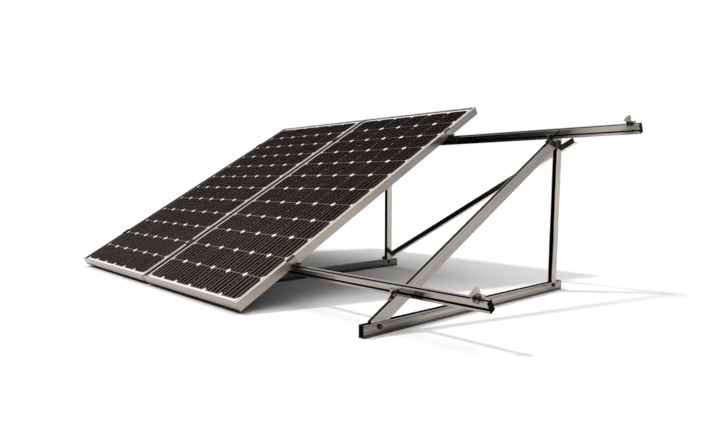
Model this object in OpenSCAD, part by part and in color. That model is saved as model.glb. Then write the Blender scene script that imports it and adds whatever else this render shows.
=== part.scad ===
// Ground frame for a row of three tilted solar modules, with two modules clamped on
// Lengths are in millimetres, X runs along the row, Y runs to the rear and Z is up
// The origin lies on the ground, under the middle of the whole frame

/* [Stance] */
// Tilt of the modules above the ground, in degrees
tilt = 30; // [22:1:45]
// Height of the modules' lower edge above the ground
front_clearance = 13; // [5:1:40]
// Width of the empty gap between two neighbouring modules
module_gap = 20; // [20:0.5:30]
// How far the cross rails run past the outermost module place
rail_overhang = 69; // [60:1:120]
// Distance from a module's lower edge to the middle of the lower cross rail
lower_rail_inset = 342; // [300:1:420]
// Distance from a module's upper edge to the middle of the upper cross rail
upper_rail_inset = 307; // [260:1:420]
// Distance from the cross rails' right end to the middle of the right triangle
right_triangle_inset = 443; // [300:1:480]
// Distance from the cross rails' left end to the middle of the left triangle
left_triangle_inset = 279; // [200:1:480]

/* [Module] */
// Length of a module, up the slope
module_length = 1956; // [1700:1:2100]
// Width of a module, along the row
module_width = 1000; // [900:1:1100]
// Thickness of a module's frame
module_thickness = 45; // [40:1:55]
// Width of the frame's lip over the glass
lip_width = 11; // [8:0.5:14]
// Thickness of the frame's lip over the glass
lip_thickness = 1.6; // [1.2:0.1:2.5]
// Wall thickness of the frame's profile
frame_wall = 1.8; // [1.4:0.1:2.4]
// Width of the hollow chamber in the frame's profile, walls included
chamber_width = 13; // [11:0.5:18]
// Width of the frame's bottom flange
flange_width = 30; // [22:1:36]
// Length of each leg of a corner key
key_leg = 48; // [30:1:70]
// Thickness of the front glass
glass_thickness = 3.2; // [2.5:0.1:4]
// Thickness of a cell in its embedding
cell_thickness = 0.5; // [0.4:0.1:0.8]
// Thickness of the white back sheet
sheet_thickness = 0.5; // [0.4:0.1:1]
// Number of cells up the slope
cell_rows = 12; // [10:1:13]
// Number of cells along the row
cell_columns = 6; // [5:1:7]
// Distance from the module's short edges to the first cells
cell_margin_end = 31; // [24:0.5:40]
// Distance from the module's long edges to the first cells
cell_margin_side = 35; // [24:0.5:45]
// Gap between cells up the slope
cell_row_gap = 3.6; // [2:0.1:5]
// Gap between cells along the row
cell_column_gap = 2; // [1.5:0.1:4]
// Length that is cut off each side at a cell's corner
cell_corner = 15.5; // [8:0.5:20]
// Width of the junction box
box_width = 115; // [90:1:140]
// Length of the junction box, up the slope
box_length = 92; // [70:1:120]
// Depth of the junction box
box_depth = 20; // [14:1:26]
// Distance from the module's upper edge to the middle of the junction box
box_inset = 120; // [100:1:160]

/* [Base rail] */
// Width of the base rail
base_width = 30; // [29:0.5:40]
// Height of the base rail
base_height = 50; // [46:1:60]
// Wall thickness of the base rail
base_wall = 2.2; // [1.8:0.1:2.6]
// Depth of the grooves along the base rail's sides
base_groove_depth = 0.8; // [0.4:0.1:1]
// Width of the grooves along the base rail's sides
base_groove_width = 2.6; // [1.5:0.1:4]
// How far the base rail runs past the bolts at both ends
base_overhang = 82; // [70:1:120]
// Height of the bolts in the base rail above the ground
base_bolt_height = 33; // [30:0.5:34]
// Distance from each end of the base rail to its ground anchor hole
anchor_inset = 250; // [200:5:400]
// Diameter of the ground anchor holes
anchor_diameter = 11; // [9:0.5:13]

/* [Triangle] */
// Depth of the rear post, front to back
post_depth = 43; // [40:1:55]
// Wall thickness of the rear post
post_wall = 2.2; // [1.8:0.1:2.6]
// How far the rear post rises above its upper bolt
post_rise = 20; // [16:1:30]
// Distance from the post's open front to the middle of its bolts
post_bolt_setback = 14; // [12:0.5:18]
// Height of the sloped beam's section
beam_height = 54; // [46:1:60]
// Wall thickness of the sloped beam
beam_wall = 2; // [1.6:0.1:2.5]
// Width of the slot along the top of the sloped beam
beam_slot = 12; // [9:0.5:12]
// Distance from the sloped beam's lower end to its foot bolt
beam_foot_end = 24; // [20:1:30]
// Distance from the sloped beam's lower face to its foot bolt
beam_foot_edge = 12; // [11:0.5:14]
// How far the sloped beam runs past the upper cross rail
beam_top_run = 32; // [30:1:40]
// Distance from the sloped beam's upper end to its top bolt
beam_top_end = 13; // [12:0.5:16]
// Distance from the sloped beam's lower face to its top bolt
beam_top_edge = 14; // [12:0.5:16]

/* [Cross rail] */
// Width of a cross rail
rail_width = 25; // [24:0.5:32]
// Height of a cross rail
rail_height = 45; // [42:1:52]
// Wall thickness of a cross rail
rail_wall = 2; // [1.6:0.1:2.3]
// Thickness of the lips beside a cross rail's slots
rail_lip = 2.5; // [2:0.1:3]
// Width of the slot in a cross rail's top
top_slot = 9.5; // [9:0.1:10]
// Width of the slot in a cross rail's front
side_slot = 8.5; // [8.3:0.1:9]
// Height of the front slot's middle above the cross rail's bottom
side_slot_height = 17; // [16:0.5:18]
// Thickness of the black end caps
cap_thickness = 2.5; // [2:0.1:4]
// How far an end cap reaches into its rail
cap_depth = 14; // [8:1:20]

/* [Diagonal brace] */
// Width of both legs of the brace's angle section
brace_leg = 30; // [28:1:34]
// Thickness of the brace's angle section
brace_wall = 3; // [2.5:0.1:4]
// How far the brace runs past its bolts
brace_overhang = 88; // [30:1:100]
// Height of the brace's lower bolt above the base rail's top
brace_foot_rise = 30; // [30:1:60]
// Distance from the post's top down to the brace's upper bolt
brace_top_drop = 54; // [45:1:90]

/* [Brackets and clamps] */
// Width of a rail bracket
bracket_width = 30; // [26:1:40]
// Thickness of a rail bracket
bracket_thickness = 4; // [3:0.5:5]
// Length of the bracket's leg on the sloped beam
bracket_foot = 36; // [34:1:44]
// Height of the bracket's leg on the cross rail
bracket_height = 32; // [30:1:38]
// Length of a clamp, up the slope
clamp_length = 50; // [36:1:60]
// Thickness of a clamp
clamp_thickness = 3.5; // [3:0.1:4]
// How far a clamp reaches over a module's lip
clamp_reach = 9; // [6:0.5:10]
// Width of an end clamp's foot
clamp_foot = 24; // [22:1:30]
// Gap that a tightened end clamp leaves above its rail
clamp_lift = 2; // [1:0.1:4]
// Depth of the mid clamps' channel between two modules
mid_clamp_depth = 16; // [12:1:24]
// Wall thickness of the mid clamps' channel
mid_clamp_wall = 1.6; // [1.2:0.1:1.6]
// Height of the loose end clamps at the empty module place
loose_clamp_height = 33; // [28:1:50]
// Distance from the rail's right end to the loose end clamps
loose_clamp_inset = 50; // [45:1:55]

/* [Fasteners] */
// Diameter of the frame bolts
bolt_diameter = 10; // [8:0.5:10]
// Diameter of the small bolts in brackets, clamps and brace
small_bolt_diameter = 8; // [6:0.5:8]
// Thickness of the washers
washer_thickness = 2; // [1.5:0.1:2.5]
// Gap between a bolt and its hole, on the radius
hole_gap = 0.4; // [0.3:0.05:0.6]
// Gap between pieces that slide into each other
slide_gap = 0.3; // [0.2:0.05:0.4]

/* [Hidden] */

$fn = 40;
cut = 1;
aluminium = [0.76, 0.73, 0.69];
brushed = [0.68, 0.66, 0.63];
dark_steel = [0.22, 0.22, 0.23];
black_plastic = [0.05, 0.05, 0.05];

// Row of module places and cross rails
bays = 3;
bay_pitch = module_width + module_gap;
left_bay_x = -bay_pitch;
right_bay_x = 0;
rail_length = bays * module_width + (bays - 1) * module_gap + 2 * rail_overhang;
lower_rail_v = -module_length / 2 + lower_rail_inset;
upper_rail_v = module_length / 2 - upper_rail_inset;
triangle_pitch = (rail_length - right_triangle_inset - left_triangle_inset) / 2;
right_x = rail_length / 2 - right_triangle_inset;
middle_x = right_x - triangle_pitch;
left_x = middle_x - triangle_pitch;
triangle_xs = [right_x, middle_x, left_x];

// The slope's plane is the modules' underside, with u along the row, v up the slope and h out of it
plane_z = front_clearance + module_length / 2 * sin(tilt);
plane_y = module_thickness * sin(tilt) / 2;
beam_top_h = -rail_height;
beam_bottom_h = -rail_height - beam_height;

// Foot bolt and top bolt of the sloped beam, on the slope and in the frame
foot_h = beam_bottom_h + beam_foot_edge;
foot_v = -module_length / 2 + (base_bolt_height - front_clearance - foot_h * cos(tilt)) / sin(tilt);
beam_start_v = foot_v - beam_foot_end;
beam_end_v = upper_rail_v + rail_width / 2 + beam_top_run;
beam_length = beam_end_v - beam_start_v;
top_v = beam_end_v - beam_top_end;
top_h = beam_bottom_h + beam_top_edge;
foot_y = plane_y + foot_v * cos(tilt) - foot_h * sin(tilt);
top_y = plane_y + top_v * cos(tilt) - top_h * sin(tilt);
top_z = plane_z + top_v * sin(tilt) + top_h * cos(tilt);

// Sections that nest in each other: beam in post, post in base rail
base_inner = base_width - 2 * base_wall;
post_width = base_inner - 2 * slide_gap;
post_inner = post_width - 2 * post_wall;
beam_width = post_inner - 2 * slide_gap;
base_front_y = foot_y - base_overhang;
base_rear_y = top_y + base_overhang;
base_length = base_rear_y - base_front_y;
post_front_y = top_y - post_bolt_setback;
post_rear_y = post_front_y + post_depth;
post_foot_z = base_wall + slide_gap;
post_top_z = top_z + post_rise;

// Fastener sizes that follow from the bolt diameters
bolt_r = bolt_diameter / 2;
small_r = small_bolt_diameter / 2;
head_ratio = 0.98;
head_height_ratio = 0.64;
head_face_ratio = 0.88;
head_bevel = 30;
nut_height_ratio = 0.8;
washer_ratio = 1;
thread_gap = 0.1;
tip_length = 3;

// Slots and chambers of the cross rail's section
top_chamber_width = rail_width - 2 * (rail_wall + 2);
top_chamber_depth = 8;
side_chamber_depth = 7;
side_chamber_height = 15;
slot_nut_height = 5.5;
t_head_height = 4;
t_head_width = 7.6;
t_head_length = 13;

// Layers of the module, measured from its underside
glass_top_h = module_thickness - lip_thickness - slide_gap;
glass_bottom_h = glass_top_h - glass_thickness;
cell_bottom_h = glass_bottom_h - cell_thickness;
sheet_bottom_h = cell_bottom_h - sheet_thickness;
shelf_h = sheet_bottom_h - slide_gap;
laminate_inset = frame_wall + 1;
cell_pitch_v = (module_length - 2 * cell_margin_end + cell_row_gap) / cell_rows;
cell_pitch_u = (module_width - 2 * cell_margin_side + cell_column_gap) / cell_columns;
cell_length = cell_pitch_v - cell_row_gap;
cell_width = cell_pitch_u - cell_column_gap;
mitre_gap = 0.2;
box_lid_thickness = 3;
box_lid_rim = 2;
gland_diameter = 14;
gland_bore = 6;
gland_length = 16;

// Brace between the middle post's foot and the right post's top
brace_low_z = base_height + brace_foot_rise;
brace_high_z = post_top_z - brace_top_drop;
brace_angle = atan2(brace_high_z - brace_low_z, right_x - middle_x);
brace_span = norm([right_x - middle_x, brace_high_z - brace_low_z]);

// Clamps
tight_clamp_height = module_thickness + clamp_thickness - clamp_lift;
clamp_bolt_offset = clamp_thickness + (clamp_foot - clamp_thickness) / 2;
loose_clamp_x = rail_length / 2 - loose_clamp_inset;
bracket_slot_offset = bracket_foot / 2 + bracket_thickness / 2;

// Moves children from the slope's own u, v and h to the frame
module on_slope() {
    translate([0, plane_y, plane_z])
        rotate([tilt, 0, 0])
            children();
}

// Extrudes a section drawn in Y and Z along X, centred on X = 0
module along_x(length) {
    translate([-length / 2, 0, 0])
        rotate([90, 0, 90])
            linear_extrude(length)
                children();
}

// Extrudes a section drawn in X and Z along Y, from Y = 0 onwards
module along_y(length) {
    translate([0, length, 0])
        rotate([90, 0, 0])
            linear_extrude(length)
                children();
}

// Round bar along X, centred on X = 0
module bar_x(radius, length) {
    rotate([0, 90, 0])
        cylinder(r = radius, h = length, center = true);
}

// Round bar along Y, centred on Y = 0
module bar_y(radius, length) {
    rotate([90, 0, 0])
        cylinder(r = radius, h = length, center = true);
}

// Hexagon prism on Z = 0, with its size across corners tied to the bolt
module hexagon(radius, height) {
    cylinder(r = radius * 2 * head_ratio, h = height, $fn = 6);
}

// Hexagon head on Z = 0, with its upper corners turned off by a flat cone
module hex_head(radius) {
    height = radius * 2 * head_height_ratio;
    face_radius = radius * 2 * head_ratio * head_face_ratio;
    intersection() {
        hexagon(radius, height);
        cylinder(r1 = face_radius + height / tan(head_bevel), r2 = face_radius, h = height);
    }
}

// Hexagon head bolt with its head on Z = 0 and its shank pointing down
module hex_bolt(radius, length) {
    hex_head(radius);
    translate([0, 0, -length])
        cylinder(r = radius, h = length + 0.5);
}

// Hexagon nut hanging down from Z = 0
module hex_nut(radius) {
    height = radius * 2 * nut_height_ratio;
    translate([0, 0, -height])
        difference() {
            hexagon(radius, height);
            translate([0, 0, -cut])
                cylinder(r = radius + thread_gap, h = height + 2 * cut);
        }
}

// Flat washer lying on Z = 0
module washer(radius) {
    difference() {
        cylinder(r = radius * 2 * washer_ratio, h = washer_thickness);
        translate([0, 0, -cut])
            cylinder(r = radius + hole_gap, h = washer_thickness + 2 * cut);
    }
}

// Bolt with a flat hammer head on Z = 0 for a slot that runs along X
module hammer_bolt(radius, length) {
    translate([-t_head_width / 2, -t_head_length / 2, -t_head_height])
        cube([t_head_width, t_head_length, t_head_height]);
    translate([0, 0, -t_head_height / 2])
        cylinder(r = radius, h = length + t_head_height / 2);
}

// Section of the base rail: an open channel with grooved sides
module base_section() {
    groove_heights = [base_height * 0.2, base_height * 0.86];
    difference() {
        translate([-base_width / 2, 0])
            square([base_width, base_height]);
        translate([-base_inner / 2, base_wall])
            square([base_inner, base_height]);
        for (side = [-1, 1], z = groove_heights)
            translate([side * base_width / 2, z])
                square([2 * base_groove_depth, base_groove_width], center = true);
    }
}

module base_rail(x) {
    color(aluminium)
        difference() {
            translate([x, base_front_y, 0])
                along_y(base_length)
                    base_section();
            for (y = [foot_y, top_y])
                translate([x, y, base_bolt_height])
                    bar_x(bolt_r + hole_gap, base_width + 2 * cut);
            for (y = [base_front_y + anchor_inset, base_rear_y - anchor_inset])
                translate([x, y, -cut])
                    cylinder(d = anchor_diameter, h = base_wall + 2 * cut);
        }
}

// Section of the sloped beam: a slotted channel, drawn down from its top face
module beam_section() {
    difference() {
        translate([-beam_width / 2, -beam_height])
            square([beam_width, beam_height]);
        translate([-beam_width / 2 + beam_wall, -beam_height + beam_wall])
            square([beam_width - 2 * beam_wall, beam_height - 2 * beam_wall]);
        translate([-beam_slot / 2, -beam_wall - cut])
            square([beam_slot, beam_wall + 2 * cut]);
    }
}

module sloped_beam(x) {
    color(aluminium)
        on_slope()
            difference() {
                translate([x, beam_start_v, beam_top_h])
                    along_y(beam_length)
                        beam_section();
                translate([x, foot_v, foot_h])
                    bar_x(bolt_r + hole_gap, beam_width + 2 * cut);
                translate([x, top_v, top_h])
                    bar_x(bolt_r + hole_gap, beam_width + 2 * cut);
            }
}

// Section of the rear post: a channel that is open to the front
module post_section() {
    difference() {
        translate([-post_width / 2, 0])
            square([post_width, post_depth]);
        translate([-post_inner / 2, -cut])
            square([post_inner, post_depth - post_wall + cut]);
    }
}

module rear_post(x, brace_z) {
    color(aluminium)
        difference() {
            translate([x, post_front_y, post_foot_z])
                linear_extrude(post_top_z - post_foot_z)
                    post_section();
            for (z = [base_bolt_height, top_z])
                translate([x, top_y, z])
                    bar_x(bolt_r + hole_gap, post_width + 2 * cut);
            for (z = brace_z)
                translate([x, post_rear_y, z])
                    bar_y(small_r + hole_gap, 2 * post_wall + 2 * cut);
        }
}

// Slotted profile of the cross rails, with its top on Z = 0 and its front towards -Y
module rail_section() {
    slot_z = -rail_height + side_slot_height;
    front = -rail_width / 2;
    core_top = -rail_lip - top_chamber_depth - rail_wall;
    difference() {
        translate([front, -rail_height])
            square([rail_width, rail_height]);
        translate([-top_slot / 2, -rail_lip - cut])
            square([top_slot, rail_lip + 2 * cut]);
        translate([-top_chamber_width / 2, -rail_lip - top_chamber_depth])
            square([top_chamber_width, top_chamber_depth]);
        translate([front - cut, slot_z - side_slot / 2])
            square([rail_lip + 2 * cut, side_slot]);
        translate([front + rail_lip, slot_z - side_chamber_height / 2])
            square([side_chamber_depth, side_chamber_height]);
        rail_core(slot_z, front, core_top);
    }
}

// Hollow behind the two slots of a cross rail
module rail_core(slot_z, front, core_top) {
    difference() {
        translate([front + rail_wall, -rail_height + rail_wall])
            square([rail_width - 2 * rail_wall, rail_height - rail_wall + core_top]);
        translate([front - cut, slot_z - side_chamber_height / 2 - rail_wall])
            square([rail_lip + side_chamber_depth + rail_wall + cut, side_chamber_height + 2 * rail_wall]);
    }
}

module cross_rail(v) {
    color(aluminium)
        on_slope()
            translate([0, v, 0])
                along_x(rail_length)
                    rail_section();
}

// Closes a cross rail's end, with a tongue in the hollow behind its slots
module rail_end_cap() {
    core_top = -rail_lip - top_chamber_depth - rail_wall;
    tongue_y = -rail_width / 2 + rail_lip + side_chamber_depth + rail_wall + slide_gap;
    tongue_width = rail_width / 2 - rail_wall - slide_gap - tongue_y;
    tongue_height = rail_height - rail_wall + core_top - 2 * slide_gap;
    translate([0, -rail_width / 2, -rail_height])
        cube([cap_thickness, rail_width, rail_height]);
    translate([-cap_depth, tongue_y, -rail_height + rail_wall + slide_gap])
        cube([cap_depth + cut, tongue_width, tongue_height]);
}

module rail_end_caps() {
    color(black_plastic)
        on_slope()
            for (v = [lower_rail_v, upper_rail_v], side = [0, 1])
                mirror([side, 0, 0])
                    translate([rail_length / 2, v, 0])
                        rail_end_cap();
}

// Closes a base rail's end, as a hollow plug that lies flush between the walls
module base_end_cap() {
    plug_width = base_inner - 2 * slide_gap;
    plug_bottom = base_wall + slide_gap;
    plug_height = base_height - plug_bottom;
    difference() {
        translate([-plug_width / 2, 0, plug_bottom])
            cube([plug_width, cap_depth, plug_height]);
        translate([-plug_width / 2 + base_wall, cap_thickness, plug_bottom + base_wall])
            cube([plug_width - 2 * base_wall, cap_depth, plug_height]);
    }
}

module base_end_caps() {
    color(black_plastic)
        for (x = triangle_xs) {
            translate([x, base_front_y, 0])
                base_end_cap();
            translate([x, base_rear_y, 0])
                mirror([0, 1, 0])
                    base_end_cap();
        }
}

// Rings that centre each beam's foot between the base rail's walls
module foot_spacers() {
    ring = (base_inner - beam_width) / 2 - slide_gap;
    color(brushed)
        for (x = triangle_xs, side = [-1, 1])
            translate([x + side * (beam_width + base_inner) / 4, foot_y, base_bolt_height])
                difference() {
                    bar_x(2 * bolt_r * washer_ratio, ring);
                    bar_x(bolt_r + hole_gap, ring + 2 * cut);
                }
}

// The three cross bolts of every triangle: place and the width that each one clamps
frame_bolt_places = [
    [foot_y, base_bolt_height, base_width],
    [top_y, base_bolt_height, base_width],
    [top_y, top_z, post_width],
];

// Puts children with Z along +X on the bolt's head side of each joint
module at_frame_bolts(head_side) {
    for (x = triangle_xs, place = frame_bolt_places)
        translate([x + head_side * place[2] / 2, place[0], place[1]])
            rotate([0, head_side * 90, 0])
                children();
}

module frame_bolts() {
    color(dark_steel)
        for (x = triangle_xs, place = frame_bolt_places)
            translate([x + place[2] / 2 + washer_thickness, place[0], place[1]])
                rotate([0, 90, 0])
                    hex_bolt(bolt_r, place[2] + 2 * washer_thickness + 2 * bolt_r * nut_height_ratio + tip_length);
}

module frame_nuts() {
    color(dark_steel)
        at_frame_bolts(-1)
            translate([0, 0, washer_thickness])
                mirror([0, 0, 1])
                    hex_nut(bolt_r);
}

module frame_washers() {
    color(brushed)
        for (head_side = [-1, 1])
            at_frame_bolts(head_side)
                washer(bolt_r);
}

// Angle section that braces the middle post's foot to the right post's top
module diagonal_brace() {
    color(aluminium)
        translate([middle_x, post_rear_y, brace_low_z])
            rotate([0, -brace_angle, 0])
                difference() {
                    translate([-brace_overhang, 0, -brace_leg / 2])
                        brace_angle_bar(brace_span + 2 * brace_overhang);
                    for (x = [0, brace_span])
                        translate([x, 0, 0])
                            bar_y(small_r + hole_gap, 2 * brace_wall + 2 * cut);
                }
}

module brace_angle_bar(length) {
    cube([length, brace_wall, brace_leg]);
    cube([length, brace_leg, brace_wall]);
}

brace_bolt_places = [[middle_x, brace_low_z], [right_x, brace_high_z]];
brace_grip = brace_wall + post_wall;

// Puts children with Z along +Y on the brace's rear face, at each brace bolt
module at_brace_bolts(y) {
    for (place = brace_bolt_places)
        translate([place[0], y, place[1]])
            rotate([-90, 0, 0])
                children();
}

module brace_bolts() {
    color(dark_steel)
        at_brace_bolts(post_rear_y + brace_wall + washer_thickness)
            hex_bolt(small_r, brace_grip + 2 * washer_thickness + 2 * small_r * nut_height_ratio + tip_length);
}

module brace_nuts() {
    color(dark_steel)
        at_brace_bolts(post_rear_y - post_wall - washer_thickness)
            hex_nut(small_r);
}

module brace_washers() {
    color(brushed) {
        at_brace_bolts(post_rear_y + brace_wall)
            washer(small_r);
        at_brace_bolts(post_rear_y - post_wall - washer_thickness)
            washer(small_r);
    }
}

// Angle bracket on top of a beam, in front of a cross rail whose front face is at Y = 0
module rail_bracket() {
    color(brushed)
        difference() {
            union() {
                translate([-bracket_width / 2, -bracket_foot, 0])
                    cube([bracket_width, bracket_foot, bracket_thickness]);
                translate([-bracket_width / 2, -bracket_thickness, 0])
                    cube([bracket_width, bracket_thickness, bracket_height]);
            }
            translate([0, -bracket_slot_offset, -cut])
                cylinder(r = small_r + hole_gap, h = bracket_thickness + 2 * cut);
            translate([0, 0, side_slot_height])
                bar_y(small_r + hole_gap, 2 * bracket_thickness + 2 * cut);
        }
}

// Puts children at the foot of a cross rail's front face, over each beam
module at_rail_feet(v) {
    on_slope()
        for (x = triangle_xs)
            translate([x, v - rail_width / 2, beam_top_h])
                children();
}

module rail_brackets(v) {
    at_rail_feet(v)
        rail_bracket();
}

module bracket_beam_bolts() {
    length = beam_wall + bracket_thickness + washer_thickness + 2 * small_r * nut_height_ratio + tip_length;
    color(dark_steel)
        for (v = [lower_rail_v, upper_rail_v])
            at_rail_feet(v)
                translate([0, -bracket_slot_offset, -beam_wall - slide_gap])
                    rotate([0, 0, 90])
                        hammer_bolt(small_r, length);
}

module bracket_rail_bolts() {
    length = rail_lip + bracket_thickness + washer_thickness + 2 * small_r * nut_height_ratio + tip_length;
    color(dark_steel)
        for (v = [lower_rail_v, upper_rail_v])
            at_rail_feet(v)
                translate([0, rail_lip + slide_gap, side_slot_height])
                    rotate([90, 0, 0])
                        hammer_bolt(small_r, length);
}

module bracket_nuts() {
    seat = bracket_thickness + 2 * small_r * nut_height_ratio;
    color(dark_steel)
        for (v = [lower_rail_v, upper_rail_v])
            at_rail_feet(v) {
                translate([0, -bracket_slot_offset, seat])
                    hex_nut(small_r);
                translate([0, -seat, side_slot_height])
                    rotate([90, 0, 0])
                        hex_nut(small_r);
            }
}

// Z-shaped end clamp with its web's inner face at X = 0 and its foot towards +X
module end_clamp(height) {
    color(aluminium)
        difference() {
            translate([0, clamp_length / 2, 0])
                rotate([90, 0, 0])
                    linear_extrude(clamp_length)
                        polygon([
                            [-clamp_reach, height],
                            [-clamp_reach, height - clamp_thickness],
                            [0, height - clamp_thickness],
                            [0, 0],
                            [clamp_foot, 0],
                            [clamp_foot, clamp_thickness],
                            [clamp_thickness, clamp_thickness],
                            [clamp_thickness, height],
                        ]);
            translate([clamp_bolt_offset, 0, -cut])
                cylinder(r = small_r + hole_gap, h = clamp_thickness + 2 * cut);
        }
}

// Puts children at both cross rails, at a place along the row and a height above the rail
module at_rails(x, h) {
    on_slope()
        for (v = [lower_rail_v, upper_rail_v])
            translate([x, v, h])
                children();
}

module end_clamps_right() {
    at_rails(right_bay_x + module_width / 2, clamp_lift)
        end_clamp(tight_clamp_height);
}

module end_clamps_left() {
    at_rails(left_bay_x - module_width / 2, clamp_lift)
        mirror([1, 0, 0])
            end_clamp(tight_clamp_height);
}

module end_clamps_loose() {
    at_rails(loose_clamp_x, 0)
        end_clamp(loose_clamp_height);
}

// Hat-shaped clamp between two modules, with its feet on their lips at Z = 0
module mid_clamp() {
    body = module_gap - 2 * slide_gap;
    inner = body - 2 * mid_clamp_wall;
    color(aluminium)
        difference() {
            union() {
                translate([-body / 2 - clamp_reach, -clamp_length / 2, 0])
                    cube([body + 2 * clamp_reach, clamp_length, clamp_thickness]);
                translate([-body / 2, -clamp_length / 2, -mid_clamp_depth])
                    cube([body, clamp_length, mid_clamp_depth + clamp_thickness]);
            }
            translate([-inner / 2, -clamp_length / 2 - cut, -mid_clamp_depth + clamp_thickness])
                cube([inner, clamp_length + 2 * cut, mid_clamp_depth + clamp_thickness]);
            translate([0, 0, -mid_clamp_depth - cut])
                cylinder(r = small_r + hole_gap, h = mid_clamp_depth);
        }
}

module mid_clamps() {
    at_rails((left_bay_x + right_bay_x) / 2, module_thickness)
        mid_clamp();
}

// Every clamp's bolt: its place along the row and the height of the face under its washer
clamp_bolt_places = [
    [left_bay_x - module_width / 2 - clamp_bolt_offset, clamp_lift + clamp_thickness],
    [(left_bay_x + right_bay_x) / 2, module_thickness - mid_clamp_depth + clamp_thickness],
    [right_bay_x + module_width / 2 + clamp_bolt_offset, clamp_lift + clamp_thickness],
    [loose_clamp_x + clamp_bolt_offset, clamp_thickness],
];

module clamp_bolts() {
    below_rail_top = rail_lip + top_chamber_depth - 1;
    color(dark_steel)
        for (place = clamp_bolt_places)
            at_rails(place[0], place[1] + washer_thickness)
                hex_bolt(small_r, place[1] + washer_thickness + below_rail_top);
}

module clamp_washers() {
    color(brushed)
        for (place = clamp_bolt_places)
            at_rails(place[0], place[1])
                washer(small_r);
}

// Nuts that slide in the cross rails' top slots
module clamp_slot_nuts() {
    nut_width = top_chamber_width - 2 * slide_gap;
    color(dark_steel)
        for (place = clamp_bolt_places)
            at_rails(place[0], -rail_lip - slide_gap - slot_nut_height)
                difference() {
                    translate([-nut_width / 2, -nut_width / 2, 0])
                        cube([nut_width, nut_width, slot_nut_height]);
                    translate([0, 0, -cut])
                        cylinder(r = small_r + thread_gap, h = slot_nut_height + 2 * cut);
                }
}

// Section of the module's frame: outer face on X = 0, underside on Y = 0, inside towards +X
module frame_section() {
    square([frame_wall, module_thickness]);
    translate([0, module_thickness - lip_thickness])
        square([lip_width, lip_thickness]);
    translate([0, shelf_h - frame_wall])
        square([chamber_width, frame_wall]);
    translate([chamber_width - frame_wall, 0])
        square([frame_wall, shelf_h]);
    square([flange_width, frame_wall]);
}

// One mitred side of the module's frame, with its outer face on Y = 0 and its middle on X = 0
module frame_bar(length) {
    half = length / 2 - mitre_gap / 2;
    depth = flange_width + cut;
    color(aluminium)
        intersection() {
            along_x(length)
                frame_section();
            linear_extrude(module_thickness)
                polygon([[-half, 0], [half, 0], [half - depth, depth], [-half + depth, depth]]);
        }
}

// The four sides by name: turn about the module's middle, distance of the outer face and length
function side_turn(side) = side == "lower" ? 0 : side == "right" ? 90 : side == "upper" ? 180 : 270;
function side_reach(side) = (side == "lower" || side == "upper") ? module_length / 2 : module_width / 2;
function side_length(side) = (side == "lower" || side == "upper") ? module_width : module_length;

module module_frame_side(bay_x, side) {
    on_slope()
        translate([bay_x, 0, 0])
            rotate([0, 0, side_turn(side)])
                translate([0, -side_reach(side), 0])
                    frame_bar(side_length(side));
}

// Angle keys in the frame's hollow corners
module module_corner_keys(bay_x) {
    inset = frame_wall + slide_gap;
    key_width = chamber_width - 2 * inset;
    key_height = shelf_h - frame_wall - 2 * inset;
    color(brushed)
        on_slope()
            translate([bay_x, 0, inset])
                for (mx = [0, 1], my = [0, 1])
                    mirror([mx, 0, 0])
                        mirror([0, my, 0])
                            translate([-module_width / 2 + inset, -module_length / 2 + inset, 0]) {
                                cube([key_leg, key_width, key_height]);
                                cube([key_width, key_leg, key_height]);
                            }
}

// Flat layer of the laminate between two heights
module laminate_layer(bay_x, bottom_h, thickness) {
    size_u = module_width - 2 * laminate_inset;
    size_v = module_length - 2 * laminate_inset;
    on_slope()
        translate([bay_x - size_u / 2, -size_v / 2, bottom_h])
            cube([size_u, size_v, thickness]);
}

module module_glass(bay_x) {
    color([0.75, 0.82, 0.85, 0.3])
        laminate_layer(bay_x, glass_bottom_h, glass_thickness);
}

module module_back_sheet(bay_x) {
    color([0.95, 0.95, 0.94])
        laminate_layer(bay_x, sheet_bottom_h, sheet_thickness);
}

// Outline of one cell: a square with its four corners cut off
module cell_outline() {
    w = cell_width / 2;
    l = cell_length / 2;
    c = cell_corner;
    polygon([[-w + c, -l], [w - c, -l], [w, -l + c], [w, l - c], [w - c, l], [-w + c, l], [-w, l - c], [-w, -l + c]]);
}

module module_cells(bay_x) {
    color([0.1, 0.075, 0.065])
        on_slope()
            translate([bay_x, 0, cell_bottom_h])
                for (column = [0:cell_columns - 1], row = [0:cell_rows - 1])
                    translate([
                        (column - (cell_columns - 1) / 2) * cell_pitch_u,
                        (row - (cell_rows - 1) / 2) * cell_pitch_v,
                        0,
                    ])
                        linear_extrude(cell_thickness)
                            cell_outline();
}

// Puts children under a module's back sheet, at the junction box
module at_junction_box(bay_x) {
    on_slope()
        translate([bay_x, module_length / 2 - box_inset, sheet_bottom_h])
            children();
}

module module_junction_box(bay_x) {
    wall = 2.5;
    body_depth = box_depth - box_lid_thickness;
    color(black_plastic)
        at_junction_box(bay_x)
            translate([0, 0, -body_depth])
                difference() {
                    translate([-box_width / 2, -box_length / 2, 0])
                        cube([box_width, box_length, body_depth]);
                    translate([-box_width / 2 + wall, -box_length / 2 + wall, -cut])
                        cube([box_width - 2 * wall, box_length - 2 * wall, body_depth - wall + cut]);
                    for (side = [-1, 1])
                        translate([side * box_width / 4, -box_length / 2, body_depth / 2])
                            bar_y(gland_bore / 2, 4 * wall);
                }
}

module module_box_lid(bay_x) {
    color(black_plastic)
        at_junction_box(bay_x)
            translate([-box_width / 2 - box_lid_rim, -box_length / 2 - box_lid_rim, -box_depth])
                cube([box_width + 2 * box_lid_rim, box_length + 2 * box_lid_rim, box_lid_thickness]);
}

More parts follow.
